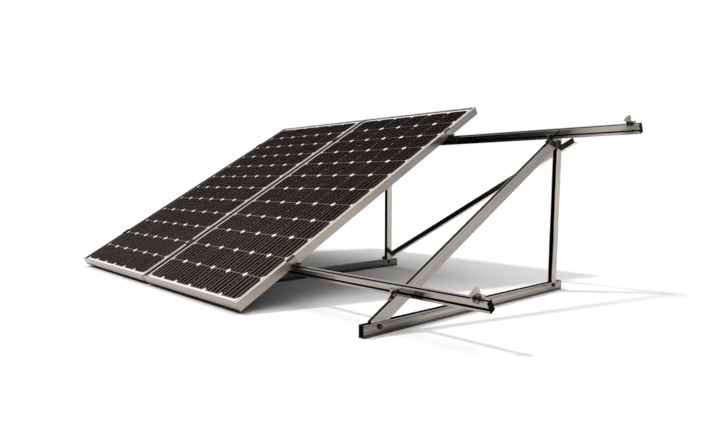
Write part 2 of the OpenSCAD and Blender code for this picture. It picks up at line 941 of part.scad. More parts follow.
// Screwed inlets for the module's two leads, on the box's lower side
module module_cable_glands(bay_x) {
    body_depth = box_depth - box_lid_thickness;
    color(black_plastic)
        at_junction_box(bay_x)
            for (side = [-1, 1])
                translate([side * box_width / 4, -box_length / 2, -body_depth / 2])
                    rotate([90, 0, 0])
                        difference() {
                            union() {
                                cylinder(d = gland_diameter, h = gland_length / 2, $fn = 6);
                                cylinder(d = gland_diameter - 3, h = gland_length);
                            }
                            translate([0, 0, -cut])
                                cylinder(d = gland_bore, h = gland_length + 2 * cut);
                        }
}

base_rail(right_x);  // base_rail_right
base_rail(middle_x);  // base_rail_middle
base_rail(left_x);  // base_rail_left
sloped_beam(right_x);  // sloped_beam_right
sloped_beam(middle_x);  // sloped_beam_middle
sloped_beam(left_x);  // sloped_beam_left
rear_post(right_x, [brace_high_z]);  // rear_post_right
rear_post(middle_x, [brace_low_z]);  // rear_post_middle
rear_post(left_x, []);  // rear_post_left
cross_rail(lower_rail_v);  // cross_rail_lower
cross_rail(upper_rail_v);  // cross_rail_upper
diagonal_brace();
base_end_caps();
rail_end_caps();
foot_spacers();
frame_bolts();
frame_nuts();
frame_washers();
brace_bolts();
brace_nuts();
brace_washers();
rail_brackets(lower_rail_v);  // lower_rail_brackets
rail_brackets(upper_rail_v);  // upper_rail_brackets
bracket_beam_bolts();
bracket_rail_bolts();
bracket_nuts();
end_clamps_left();
end_clamps_right();
end_clamps_loose();
mid_clamps();
clamp_bolts();
clamp_washers();
clamp_slot_nuts();
module_frame_side(left_bay_x, "lower");  // left_module_frame_lower
module_frame_side(left_bay_x, "upper");  // left_module_frame_upper
module_frame_side(left_bay_x, "left");  // left_module_frame_left
module_frame_side(left_bay_x, "right");  // left_module_frame_right
module_corner_keys(left_bay_x);  // left_module_corner_keys
module_glass(left_bay_x);  // left_module_glass
module_cells(left_bay_x);  // left_module_cells
module_back_sheet(left_bay_x);  // left_module_back_sheet
module_junction_box(left_bay_x);  // left_module_junction_box
module_box_lid(left_bay_x);  // left_module_box_lid
module_cable_glands(left_bay_x);  // left_module_cable_glands
module_frame_side(right_bay_x, "lower");  // right_module_frame_lower
module_frame_side(right_bay_x, "upper");  // right_module_frame_upper
module_frame_side(right_bay_x, "left");  // right_module_frame_left
module_frame_side(right_bay_x, "right");  // right_module_frame_right
module_corner_keys(right_bay_x);  // right_module_corner_keys
module_glass(right_bay_x);  // right_module_glass
module_cells(right_bay_x);  // right_module_cells
module_back_sheet(right_bay_x);  // right_module_back_sheet
module_junction_box(right_bay_x);  // right_module_junction_box
module_box_lid(right_bay_x);  // right_module_box_lid
module_cable_glands(right_bay_x);  // right_module_cable_glands
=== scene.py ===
import math

import bpy
from mathutils import Matrix, Vector


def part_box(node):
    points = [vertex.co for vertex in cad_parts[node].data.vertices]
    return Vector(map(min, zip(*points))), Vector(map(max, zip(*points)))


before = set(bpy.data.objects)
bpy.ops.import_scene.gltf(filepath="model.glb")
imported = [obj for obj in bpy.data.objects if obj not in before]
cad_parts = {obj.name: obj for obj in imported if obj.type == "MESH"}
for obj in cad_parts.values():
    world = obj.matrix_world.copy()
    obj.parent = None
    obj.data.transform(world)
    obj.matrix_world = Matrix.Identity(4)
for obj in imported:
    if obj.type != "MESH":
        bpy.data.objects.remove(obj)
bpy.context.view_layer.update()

# Facts of the part's construction, in metres and radians
TILT = math.radians(30)
PLANE_Y = 0.01125
PLANE_Z = 0.502
MODULE_LENGTH = 1.956
MODULE_WIDTH = 1.0
MODULE_THICKNESS = 0.045
MODULE_X = {"left": -1.02, "right": 0.0}
CELL_ROWS = 12
CELL_COLUMNS = 6
CELL_MARGIN_END = 0.031
CELL_MARGIN_SIDE = 0.035
CELL_ROW_GAP = 0.0036
CELL_COLUMN_GAP = 0.002
CELL_CORNER = 0.0155
ROW_PITCH = (MODULE_LENGTH - 2 * CELL_MARGIN_END + CELL_ROW_GAP) / CELL_ROWS
COLUMN_PITCH = (MODULE_WIDTH - 2 * CELL_MARGIN_SIDE + CELL_COLUMN_GAP) / CELL_COLUMNS
RAIL_V = {"lower": -0.636, "upper": 0.671}
RAIL_WIDTH = 0.025
RAIL_HEIGHT = 0.045
BEAM_HEIGHT = 0.054
BRACE_ANGLE = math.radians(28.46)
BRACE_FOOT = (-0.082, 0.691133, 0.08)
BRACE_SIDE = 0.03

# Axes of a piece's own coordinates, and how they are turned
X, Y, Z = 0, 1, 2
LEVEL = (0, 0, 0)
TILTED = (TILT, 0, 0)

# Values between which a noise texture mostly lies
NOISE_LOW = 0.3
NOISE_HIGH = 0.7

# Noise scales across and along the draw lines of a metal
CHANNEL_LINES = (900.0, 1.5)
CHANNEL_CLOUDS = (90.0, 3.0)
BRACE_LINES = (400.0, 3.0)
MODULE_LINES = (500.0, 3.0)

# Noise scales along each axis, for a brushed metal's grain
CLAMP_GRAIN = (300.0, 20.0, 20.0)
KEY_GRAIN = (300.0, 300.0, 12.0)
STEEL_GRAIN = (200.0, 200.0, 200.0)

# The least and the most that wear scales a tone by
CHANNEL_WEAR = (0.72, 1.2)
BRACE_WEAR = (0.7, 1.3)
MODULE_WEAR = (0.88, 1.1)
CLAMP_WEAR = (0.85, 1.15)
BRUSHED_WEAR = (0.75, 1.2)
PLASTIC_WEAR = (0.8, 1.2)

# The least and the most roughness
CHANNEL_ROUGHNESS = (0.08, 0.2)
BRACE_ROUGHNESS = (0.2, 0.36)
MODULE_ROUGHNESS = (0.2, 0.34)
GLASS_ROUGHNESS = (0.03, 0.08)

# Heights of the bumps, in metres
CHANNEL_BUMP = 0.00006
MODULE_BUMP = 0.00008
GRAIN_BUMP = 0.0001

# Tones of channels and rails, as linear values. A profile holds pairs of a place and the tone
# there. Its places are in metres from the middle of a base rail or a cross rail, and from the
# middle of the modules along a beam. The tone profiles are painted reflections, and the slot's
# profile is a painted shadow.
SILVER = (0.47, 0.43, 0.39)
# Painted shade: the black drawn in the hollows of channels and on the modules' frames
PAINTED_SHADE_BLACK = (0.004, 0.004, 0.004)
RAIL_TONE = 0.85
POST_TONE = 0.95
BEAM_TONE = 0.74
# Painted reflection: the beams grow darker up the slope
BEAM_RUN = ((-0.2, 1.0), (0.65, 0.72))
# Painted shade: the middle and left base rails, in the modules' shadow, are darker than the right one
BASE_TONE = {"right": 0.8, "middle": 0.5, "left": 0.5}
# Painted reflection: bands up a base rail's side, darker towards its bottom
BASE_REFLECTION_BANDS = (
    (-0.025, 0.30), (-0.019, 0.35), (-0.014, 0.44), (-0.009, 0.54), (-0.004, 0.58),
    (0.001, 0.75), (0.006, 0.97), (0.009, 1.0), (0.010, 0.7), (0.013, 0.7),
    (0.015, 1.3), (0.018, 1.25), (0.0185, 0.85), (0.025, 0.95),
)
# Painted reflection: the right base rail is darker towards its front end
RIGHT_BASE_RUN = (
    (-0.727, 0.66), (-0.6, 0.58), (-0.49, 0.68), (-0.42, 1.05), (-0.15, 1.1),
    (0.1, 1.14), (0.35, 1.14), (0.45, 0.98), (0.727, 0.98),
)
# Painted reflection: the cross rails are darker along most of the row and lighter towards their right ends
RAIL_RUN = {"lower": ((0.5, 0.55), (0.8, 1.0)), "upper": ((1.1, 0.165), (1.42, 1.0))}
LOWER_SLOT_SHADOW = (
    (-0.0225, 0.0), (-0.0118, 0.0), (-0.0112, 1.0), (0.0006, 1.0), (0.0012, 0.0), (0.0225, 0.0),
)

# Depths under the outer faces at which the painted shade of the hollows starts and is full, and
# depths under the front face at which the slot's painted shadow starts to fade and is gone
HOLLOW_DEPTH = (0.0001, 0.0005)
SHADOW_DEPTH = (0.0006, 0.001)

# How far a face points along a channel where the painted shade starts to fade and is gone
END_FACING = (0.5, 0.6)

# The brace's web in painted shade, with a profile from its foot up that holds a painted
# reflection of the beam, and a painted highlight along the edge of its lower flange
BRACE_WEB_SHADE = (0.34, 0.33, 0.32)
BRACE_REFLECTION_RUN = ((-0.09, 0.16), (1.22, 0.16), (1.25, 1.0), (1.385, 1.0), (1.395, 0.16), (1.49, 0.16))
BRACE_EDGE_HIGHLIGHT = (0.60, 0.54, 0.48)
BRACE_EDGE_HEIGHT = (0.0001, 0.0007)

# The modules' frame: its upright faces, its lip, and the painted shade drawn black on it.
# Heights are over a module's underside, and depths are under its top. RIGHT_SIDE_RUN holds
# places up the slope from the module's middle.
FRAME_SIDE = (0.37, 0.32, 0.275)
FRAME_BAND = (0.43, 0.405, 0.375)
BAND_DEPTH = (0.0215, 0.0205)
# Painted reflection: the right sides go from a warm tone low on the slope to a darker grey high up
RIGHT_SIDE_LOW = (0.3996, 0.3456, 0.297)
RIGHT_SIDE_HIGH = (0.21, 0.205, 0.20)
RIGHT_SIDE_RUN = (-0.2, 0.9)
# Painted light: the left module's face in the gap is pale towards its top, and little metallic so that it
# takes the light
GAP_SIDE_PAINTED_LIGHT = (0.95, 0.88, 0.80)
GAP_SIDE_HEIGHT = (0.020, 0.030)
GAP_SIDE_METALLIC = 0.1
# Painted light and shade: each edge's lip has a tone of its own, pale on the right and dark on the upper
# edge
LIP_LIGHT_AND_SHADE = {
    "lower": (0.42, 0.36, 0.33),
    "right": (0.74, 0.68, 0.62),
    "left": (0.30, 0.265, 0.235),
    "upper": (0.20, 0.175, 0.155),
}
LIP_DEPTH = (0.0006, 0.0002)
# Painted shade: a dark line along the upright faces just under the lip
LINE_TONE = (0.10, 0.095, 0.09)
LINE_STRENGTH = 0.6
LINE_DEPTH = 0.0022
LINE_REACH = (0.0008, 0.0016)
# Painted shadow: the front foot of the lower frames is black up to these heights
FOOT_HEIGHT = (0.007, 0.009)
# Painted shade: black inside the left edges, this far off the wall and from this height up
INNER_FROM_WALL = (0.0002, 0.0006)
INNER_HEIGHT = (0.030, 0.031)

# Tones up a tightened clamp, by its height over the modules' underside
CLAMP_TONES = ((0.0, 0.12), (0.006, 0.12), (0.008, 0.8), (0.040, 0.9), (0.042, 0.10), (0.049, 0.10))

# Small pieces. Loose clamps and brackets change to their other tone between two heights.
DARK_STEEL = (0.045, 0.044, 0.043)
WASHER_STEEL = (0.055, 0.053, 0.05)
LOOSE_CLAMP = (0.42, 0.385, 0.345)
LOOSE_CLAMP_HIGH = 0.45
HIGH_FROM = (0.4, 0.6)
KEY_METAL = (0.5, 0.48, 0.46)
CAP_BLACK = (0.004, 0.004, 0.004)
BOX_BLACK = (0.02, 0.02, 0.02)
STEEL_ROUGHNESS = 0.24
LOOSE_CLAMP_ROUGHNESS = 0.16
KEY_ROUGHNESS = 0.4
CAP_ROUGHNESS = 0.45
BOX_ROUGHNESS = 0.4

# Cells and bus bars, with profiles from a module's middle up the slope.
# BAR_BLUR says how far the bars run together with their cell.
CELL_DARK = (0.009, 0.006, 0.005)
# Painted light: the cells and bars are lighter low on a module and darker up the slope
CELL_RISE = {
    "left": ((-0.978, 1.0), (0.0, 0.6), (0.978, 0.35)),
    "right": ((-0.978, 1.25), (0.0, 0.62), (0.978, 0.33)),
}
BAR_TONE = (0.125, 0.100, 0.087)
BAR_PITCH = 0.0349
BAR_WIDTH = 0.007
BAR_EDGE = {"left": 0.006, "right": 0.002}
BAR_LEVEL = {"left": 0.72, "right": 1.0}
BAR_COVER = {"left": 0.37, "right": 0.26}
BAR_BLUR = {
    "left": ((-0.978, 0.3), (0.978, 0.7)),
    "right": ((-0.978, 0.0), (0.0, 0.2), (0.978, 0.45)),
}

# The back sheet, with profiles of painted shade from a module's middle along the row
SHEET_WHITE = (0.80, 0.80, 0.79)
SHEET_BRIGHT = (0.848, 0.848, 0.8374)
ROW_GAP_TONE = (0.29, 0.24, 0.215)
ROW_GAP_SPREAD = 0.001
ROW_GAP_END = (0.452, 0.454)
CORNER_TRIM = 0.002
STRIPE_EDGE = 0.0002
TAPE = (0.52, 0.38, 0.26)
TAPE_MIDDLE = 0.472
TAPE_WIDTH = 0.011
TAPE_EDGE = 0.001
SHEET_PAINTED_SHADE = {
    "left": ((-0.5, 1.0), (-0.467, 1.0), (-0.466, 0.0), (0.5, 0.0)),
    "right": (
        (-0.5, 1.0), (-0.486, 1.0), (-0.485, 0.0), (-0.474, 0.0),
        (-0.473, 1.0), (-0.465, 1.0), (-0.464, 0.0), (0.5, 0.0),
    ),
}

# Glass: how strong its mirror is, and how it grows towards a grazing view
GLASS_GLOSS = 0.06
GLASS_BLEND = 0.12

# Camera, found from the near module's corners in the photograph, whose sizes are in pixels.
# Its offset starts over that module's middle, at this height over the module's underside.
OFFSET_START_HEIGHT = 0.0435
CAMERA_OFFSET = Vector((2.6885, -2.1148, 0.0418))
CAMERA_RIGHT = Vector((0.6821, 0.7313, -0.0004))
CAMERA_UP = Vector((-0.0913, 0.0856, 0.9921))
CAMERA_REACH = 100
LENS = 28.88
SENSOR = 36.0
IMAGE_WIDTH = 720
IMAGE_HEIGHT = 437
CENTRE_X = 365.63
CENTRE_Y = 253.79

# Studio
FLOOR_SEEN = 0.98
FLOOR_BOUNCE = 0.22
FLOOR_SIZE = 60
FLOOR_DROP = 0.0002
HORIZON_FILL = 0.016
ZENITH_FILL = 2.42
ZENITH_POWER = 4.5
SUN_STRENGTH = 1.5
SUN_WIDTH = math.radians(6)
SUN_FROM = (-0.55, -0.45, 0.9)


class Nodes:
    """Short calls for building the node tree of a material or of the world."""

    def __init__(self, owner, output="ShaderNodeOutputMaterial"):
        self.owner = owner
        owner.use_nodes = True
        self.tree = owner.node_tree
        self.tree.nodes.clear()
        self.output = self.tree.nodes.new(output)

    def add(self, kind, **settings):
        node = self.tree.nodes.new(kind)
        for key, value in settings.items():
            setattr(node, key, value)
        return node

    def feed(self, socket, value):
        if hasattr(value, "is_output"):
            self.tree.links.new(value, socket)
        else:
            socket.default_value = value

    def math(self, operation, a, b=0.0, clamp=False):
        node = self.add("ShaderNodeMath", operation=operation, use_clamp=clamp)
        self.feed(node.inputs[0], a)
        self.feed(node.inputs[1], b)
        return node.outputs[0]

    def times(self, a, b):
        return self.math("MULTIPLY", a, b)

    def distance(self, a, b):
        """How far apart two values are."""
        return self.math("ABSOLUTE", self.math("SUBTRACT", a, b))

    def turned(self, vector, turn):
        """A vector in coordinates turned back by the angles."""
        rotate = self.add("ShaderNodeVectorRotate", rotation_type="EULER_XYZ", invert=True)
        self.feed(rotate.inputs["Vector"], vector)
        self.feed(rotate.inputs["Rotation"], turn)
        return rotate.outputs[0]

    def place(self, offset=(0, 0, 0), turn=LEVEL):
        """Object coordinates moved by -offset and turned back by the angles."""
        coordinates = self.add("ShaderNodeTexCoord")
        move = self.add("ShaderNodeVectorMath", operation="SUBTRACT")
        self.feed(move.inputs[0], coordinates.outputs["Object"])
        self.feed(move.inputs[1], offset)
        return self.turned(move.outputs[0], turn)

    def facing(self, turn=LEVEL):
        """The surface's direction in coordinates turned back by the angles."""
        coordinates = self.add("ShaderNodeTexCoord")
        return self.split(self.turned(coordinates.outputs["Normal"], turn))

    def split(self, vector):
        node = self.add("ShaderNodeSeparateXYZ")
        self.feed(node.inputs[0], vector)
        return node.outputs

    def shade(self, colour, factor):
        node = self.add("ShaderNodeVectorMath", operation="SCALE")
        self.feed(node.inputs[0], colour)
        self.feed(node.inputs["Scale"], factor)
        return node.outputs[0]

    def noise(self, vector, scale, detail):
        node = self.add("ShaderNodeTexNoise")
        self.feed(node.inputs["Vector"], vector)
        self.feed(node.inputs["Scale"], scale)
        self.feed(node.inputs["Detail"], detail)
        return node.outputs["Fac"]

    def grain(self, vector, scales, detail):
        """Noise with a scale of its own along each axis."""
        node = self.add("ShaderNodeVectorMath", operation="MULTIPLY")
        self.feed(node.inputs[0], vector)
        self.feed(node.inputs[1], scales)
        return self.noise(node.outputs[0], 1.0, detail)

    def lines(self, vector, scales, axis, detail):
        """Noise drawn out along one axis, with one scale across it and one along it."""
        across, along = scales
        return self.grain(vector, [along if i == axis else across for i in range(3)], detail)

    def remap(self, value, low, high, new_low, new_high):
        node = self.add("ShaderNodeMapRange")
        for socket, number in zip(node.inputs, (value, low, high, new_low, new_high)):
            self.feed(socket, number)
        return node.outputs[0]

    def rise(self, value, low, high):
        """0 up to low and 1 from high on."""
        return self.remap(value, low, high, 0.0, 1.0)

    def fall(self, value, low, high):
        """1 up to low and 0 from high on."""
        return self.remap(value, low, high, 1.0, 0.0)

    def vary(self, noise, low, high):
        """A value between low and high, as the noise goes."""
        return self.remap(noise, NOISE_LOW, NOISE_HIGH, low, high)

    def profile(self, value, stops):
        """A tone that runs straight between stops, each a place and the tone there."""
        low, high = stops[0][0], stops[-1][0]
        node = self.add("ShaderNodeValToRGB")
        ramp = node.color_ramp
        for place, tone in stops[1:-1]:
            ramp.elements.new((place - low) / (high - low))
        for element, (place, tone) in zip(ramp.elements, stops):
            element.color = (tone, tone, tone, 1.0)
        self.feed(node.inputs[0], self.rise(value, low, high))
        return node.outputs[0]

    def mix(self, factor, a, b):
        node = self.add("ShaderNodeMix", data_type="RGBA")
        self.feed(node.inputs["Factor"], factor)
        colours = [socket for socket in node.inputs if socket.type == "RGBA"]
        for socket, value in zip(colours, (a, b)):
            self.feed(socket, value if hasattr(value, "is_output") else (*value, 1.0))
        return [socket for socket in node.outputs if socket.type == "RGBA"][0]

    def bump(self, height, distance, strength=0.5):
        node = self.add("ShaderNodeBump")
        self.feed(node.inputs["Height"], height)
        self.feed(node.inputs["Distance"], distance)
        self.feed(node.inputs["Strength"], strength)
        return node.outputs[0]

    def seen(self):
        """1 for what the camera sees straight, in a mirror or through glass, and else 0."""
        path = self.add("ShaderNodeLightPath")
        mirrored = self.math("ADD", path.outputs["Is Camera Ray"], path.outputs["Is Glossy Ray"], clamp=True)
        return self.math("ADD", mirrored, path.outputs["Is Transmission Ray"], clamp=True)

    def end(self, shader):
        """Ends the tree with a shader, and gives back what the tree belongs to."""
        self.feed(self.output.inputs["Surface"], shader.outputs[0])
        return self.owner

    def principled(self, **values):
        """Ends the tree with a principled shader, and gives back the material."""
        shader = self.add("ShaderNodeBsdfPrincipled")
        names = {
            "color": "Base Color",
            "metallic": "Metallic",
            "roughness": "Roughness",
            "normal": "Normal",
            "specular": "Specular IOR Level",
        }
        for key, value in values.items():
            self.feed(shader.inputs[names[key]], value)
        return self.end(shader)


def material_nodes(name):
    return Nodes(bpy.data.materials.new(name))


def slope_point(x, v, h):
    """A place on the slope: x along the row, v up the slope and h out of the modules' underside."""
    y = PLANE_Y + v * math.cos(TILT) - h * math.sin(TILT)
    z = PLANE_Z + v * math.sin(TILT) + h * math.cos(TILT)
    return (x, y, z)


def module_place(nodes, side):
    """Coordinates on a module: along the row, up the slope, and out of its underside."""
    return nodes.place(slope_point(MODULE_X[side], 0, 0), TILTED)


def dress(names, material):
    """Gives the named pieces one material."""
    for name in names:
        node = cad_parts[name]
        node.data.materials.clear()
        node.data.materials.append(material)


def box_middle(name):
    low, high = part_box(name)
    return [(a + b) / 2 for a, b in zip(low, high)]


def box_size(name):
    low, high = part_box(name)
    return [b - a for a, b in zip(low, high)]


def inside_depth(nodes, first, second, half_first, half_second):
    """How deep a point lies inside a section's outer rectangle, in metres."""
    a = nodes.math("SUBTRACT", half_first, nodes.math("ABSOLUTE", first))
    b = nodes.math("SUBTRACT", half_second, nodes.math("ABSOLUTE", second))
    return nodes.math("MINIMUM", a, b)


def extrusion(name, centre, turn, axis, half_sizes, level, profiles=(), front_shadow=None):
    """Polished extruded aluminium with painted shade in its slots, and draw lines along its length.

    level scales its tone, and profiles holds pairs of an axis and a profile of painted reflection along it.
    front_shadow is a profile of the dark up its front face."""
    nodes = material_nodes(name)
    local = nodes.place(centre, turn)
    parts = nodes.split(local)
    across = [i for i in (X, Y, Z) if i != axis]
    depth = inside_depth(nodes, parts[across[0]], parts[across[1]], *half_sizes)
    off_ends = nodes.fall(nodes.math("ABSOLUTE", nodes.facing(turn)[axis]), *END_FACING)
    # Painted shade: the hollows of the section are drawn black, though not on faces at its ends
    dark = nodes.times(nodes.rise(depth, *HOLLOW_DEPTH), off_ends)
    if front_shadow:
        front = nodes.fall(parts[Y], *[inset - half_sizes[0] for inset in SHADOW_DEPTH])
        shadow = nodes.times(front, nodes.profile(parts[Z], front_shadow))
        dark = nodes.math("MAXIMUM", dark, shadow)
    lines = nodes.lines(local, CHANNEL_LINES, axis, detail=3.0)
    clouds = nodes.lines(local, CHANNEL_CLOUDS, axis, detail=2.0)
    uneven = nodes.math("ADD", nodes.times(lines, 0.5), clouds)
    tone = nodes.remap(uneven, 1.5 * NOISE_LOW, 1.5 * NOISE_HIGH, *CHANNEL_WEAR)
    # The profiles multiply painted reflections into the tone
    for along, stops in profiles:
        tone = nodes.times(tone, nodes.profile(parts[along], stops))
    silver = nodes.shade([level * c for c in SILVER], tone)
    polish = nodes.vary(lines, *CHANNEL_ROUGHNESS)
    return nodes.principled(
        color=nodes.mix(dark, silver, PAINTED_SHADE_BLACK),
        metallic=nodes.fall(dark, 0.0, 1.0),
        roughness=nodes.math("ADD", polish, nodes.times(dark, 0.4)),
        specular=0.0,
        normal=nodes.bump(lines, CHANNEL_BUMP),
    )


def dress_base_rail(side):
    name = f"base_rail_{side}"
    width, _, height = box_size(name)
    half = (width / 2, height / 2)
    profiles = [(Z, BASE_REFLECTION_BANDS)]
    if side == "right":
        profiles.append((Y, RIGHT_BASE_RUN))
    dress([name], extrusion(name, box_middle(name), LEVEL, Y, half, BASE_TONE[side], profiles))


def dress_rear_post(side):
    name = f"rear_post_{side}"
    width, depth, _ = box_size(name)
    half = (width / 2, depth / 2)
    dress([name], extrusion(name, box_middle(name), LEVEL, Z, half, POST_TONE))


def dress_sloped_beam(side):
    name = f"sloped_beam_{side}"
    half = (box_size(name)[X] / 2, BEAM_HEIGHT / 2)
    centre = slope_point(box_middle(name)[X], 0, -RAIL_HEIGHT - BEAM_HEIGHT / 2)
    dress([name], extrusion(name, centre, TILTED, Y, half, BEAM_TONE, [(Y, BEAM_RUN)]))


def dress_cross_rail(end):
    name = f"cross_rail_{end}"
    half = (RAIL_WIDTH / 2, RAIL_HEIGHT / 2)
    centre = slope_point(0, RAIL_V[end], -RAIL_HEIGHT / 2)
    profiles = [(X, RAIL_RUN[end])]
    shadow = LOWER_SLOT_SHADOW if end == "lower" else None
    dress([name], extrusion(name, centre, TILTED, X, half, RAIL_TONE, profiles, shadow))


def brushed_metal(name, colour, roughness, scales, high_tone=1.0):
    """Metal with short brush lines and slightly uneven gloss, in another tone high on the frame."""
    nodes = material_nodes(name)
    local = nodes.place()
    grain = nodes.grain(local, scales, detail=4.0)
    spots = nodes.noise(local, scale=45.0, detail=3.0)
    tone = nodes.remap(nodes.math("ADD", grain, spots), 0.7, 1.3, *BRUSHED_WEAR)
    tone = nodes.times(tone, nodes.remap(nodes.split(local)[Z], *HIGH_FROM, 1.0, high_tone))
    return nodes.principled(
        color=nodes.shade(colour, tone),
        metallic=1.0,
        roughness=nodes.vary(grain, roughness - 0.06, roughness + 0.1),
        normal=nodes.bump(grain, GRAIN_BUMP),
    )


def brace_metal():
    """Mill-finish angle section: a web in painted shade, with a painted reflection of the beam, over a
    painted highlight along its lower flange's edge.
    """
    nodes = material_nodes("brace_metal")
    local = nodes.place(BRACE_FOOT, (0, -BRACE_ANGLE, 0))
    along, _, up = nodes.split(local)
    # Painted shade on the web, lightened by a painted reflection near the beam
    web = nodes.shade(BRACE_WEB_SHADE, nodes.profile(along, BRACE_REFLECTION_RUN))
    # Painted highlight along the lower flange's edge
    edge = nodes.fall(up, *[height - BRACE_SIDE / 2 for height in BRACE_EDGE_HEIGHT])
    lines = nodes.lines(local, BRACE_LINES, X, detail=4.0)
    return nodes.principled(
        color=nodes.shade(nodes.mix(edge, web, BRACE_EDGE_HIGHLIGHT), nodes.vary(lines, *BRACE_WEAR)),
        metallic=1.0,
        roughness=nodes.vary(lines, *BRACE_ROUGHNESS),
        normal=nodes.bump(lines, GRAIN_BUMP),
    )


def tight_clamp_metal():
    """Clamp metal in the module frame's own tone, shadowed at its flange and its foot."""
    nodes = material_nodes("tight_clamp_metal")
    height = nodes.split(module_place(nodes, "right"))[Z]
    grain = nodes.grain(nodes.place(), CLAMP_GRAIN, detail=4.0)
    tone = nodes.times(nodes.profile(height, CLAMP_TONES), nodes.vary(grain, *CLAMP_WEAR))
    return nodes.principled(
        color=nodes.shade(FRAME_SIDE, tone),
        metallic=1.0,
        roughness=nodes.vary(grain, *MODULE_ROUGHNESS),
        normal=nodes.bump(grain, GRAIN_BUMP),
    )


def moulded_plastic(name, colour, roughness):
    """Dull plastic with a fine grain and slightly uneven colour."""
    nodes = material_nodes(name)
    grain = nodes.noise(nodes.place(), scale=900.0, detail=2.0)
    spots = nodes.noise(nodes.place(), scale=30.0, detail=2.0)
    return nodes.principled(
        color=nodes.shade(colour, nodes.vary(spots, *PLASTIC_WEAR)),
        roughness=nodes.vary(grain, roughness - 0.1, roughness + 0.1),
        specular=0.01,
        normal=nodes.bump(grain, GRAIN_BUMP, strength=0.4),
    )


def stripes(nodes, value, pitch, width, edge=STRIPE_EDGE):
    """1 on stripes of a width that repeat by a pitch, centred on whole pitches."""
    near = nodes.math("PINGPONG", value, pitch / 2)
    return nodes.fall(near, width / 2, width / 2 + edge)


def cell_material(side):
    """Near-black silicon with four paler bus bars up the slope on every cell."""
    nodes = material_nodes(f"cell_{side}")
    u, v, _ = nodes.split(module_place(nodes, side))
    in_cell = nodes.math("SUBTRACT", nodes.math("FLOORED_MODULO", u, COLUMN_PITCH), COLUMN_PITCH / 2)
    from_bar = nodes.math("ADD", in_cell, BAR_PITCH / 2)
    bars = stripes(nodes, from_bar, BAR_PITCH, BAR_WIDTH, BAR_EDGE[side])
    level = BAR_LEVEL[side]
    blotch = nodes.grain(nodes.place(), scales=(7.0, 3.0, 3.0), detail=2.0)
    uneven = nodes.remap(blotch, 0.35, 0.65, 0.85 * level, 1.15 * level)
    # Painted light up the slope
    rise = nodes.profile(v, CELL_RISE[side])
    dark = nodes.shade(CELL_DARK, rise)
    bright = nodes.shade(BAR_TONE, nodes.times(rise, uneven))
    crisp = nodes.mix(bars, dark, bright)
    blurred = nodes.mix(BAR_COVER[side], dark, bright)
    return nodes.principled(
        color=nodes.mix(nodes.profile(v, BAR_BLUR[side]), crisp, blurred),
        roughness=nodes.remap(bars, 0.0, 1.0, 0.5, 0.35),
        specular=0.0,
    )


def backing_sheet(side):
    """White back sheet, greyer in the gaps between rows, with a warm tape along its right edge and strips of
    painted shade beside the cells.
    """
    nodes = material_nodes(f"{side}_module_sheet")
    u, v, _ = nodes.split(module_place(nodes, side))
    white = nodes.mix(nodes.noise(nodes.place(), scale=40.0, detail=2.0), SHEET_WHITE, SHEET_BRIGHT)
    row_gap = stripes(nodes, v, ROW_PITCH, CELL_ROW_GAP + ROW_GAP_SPREAD)
    in_field = nodes.fall(nodes.math("ABSOLUTE", u), *ROW_GAP_END)
    near_corner = stripes(nodes, u, COLUMN_PITCH, 2 * CELL_CORNER - CORNER_TRIM)
    grey = nodes.times(nodes.times(row_gap, in_field), nodes.math("SUBTRACT", 1.0, near_corner))
    plain = nodes.mix(grey, white, ROW_GAP_TONE)
    tape = nodes.fall(nodes.distance(u, TAPE_MIDDLE), TAPE_WIDTH / 2, TAPE_WIDTH / 2 + TAPE_EDGE)
    taped = nodes.mix(tape, plain, TAPE)
    return nodes.principled(
        # Painted shade: dark strips beside the cells
        color=nodes.mix(nodes.profile(u, SHEET_PAINTED_SHADE[side]), taped, CELL_DARK),
        roughness=0.5,
        specular=0.2,
    )


def upright_face(nodes, side, edge, v, h):
    """Tone of a module frame's upright faces, with a painted reflection up the right sides and a line of
    painted shade under the lip.

    The face in the gap between the modules is painted pale towards its top as painted light, and has no
    line."""
    if (side, edge) == ("left", "right"):
        # Painted light, pale towards the top
        return nodes.mix(nodes.rise(h, *GAP_SIDE_HEIGHT), FRAME_SIDE, GAP_SIDE_PAINTED_LIGHT)
    if edge == "right":
        # Painted reflection, darker up the slope
        plain = nodes.mix(nodes.rise(v, *RIGHT_SIDE_RUN), RIGHT_SIDE_LOW, RIGHT_SIDE_HIGH)
    else:
        band = nodes.rise(h, *[MODULE_THICKNESS - depth for depth in BAND_DEPTH])
        plain = nodes.mix(band, FRAME_SIDE, FRAME_BAND)
    # Painted shade: the line under the lip
    line = nodes.fall(nodes.distance(h, MODULE_THICKNESS - LINE_DEPTH), *LINE_REACH)
    return nodes.mix(nodes.times(line, LINE_STRENGTH), plain, LINE_TONE)


def painted_shade_parts(nodes, side, edge, u, h, lip):
    """1 where a module's frame is painted black: a painted shadow along its front foot, and painted shade
    inside its left edge.

    On the right module the lip of the left edge is painted black as shade too."""
    if edge == "lower":
        return nodes.fall(h, *FOOT_HEIGHT)
    if edge != "left":
        return 0.0
    off_wall = nodes.rise(u, *[inset - MODULE_WIDTH / 2 for inset in INNER_FROM_WALL])
    inner = nodes.times(off_wall, nodes.rise(h, *INNER_HEIGHT))
    return inner if side == "right" else nodes.math("SUBTRACT", inner, lip, clamp=True)


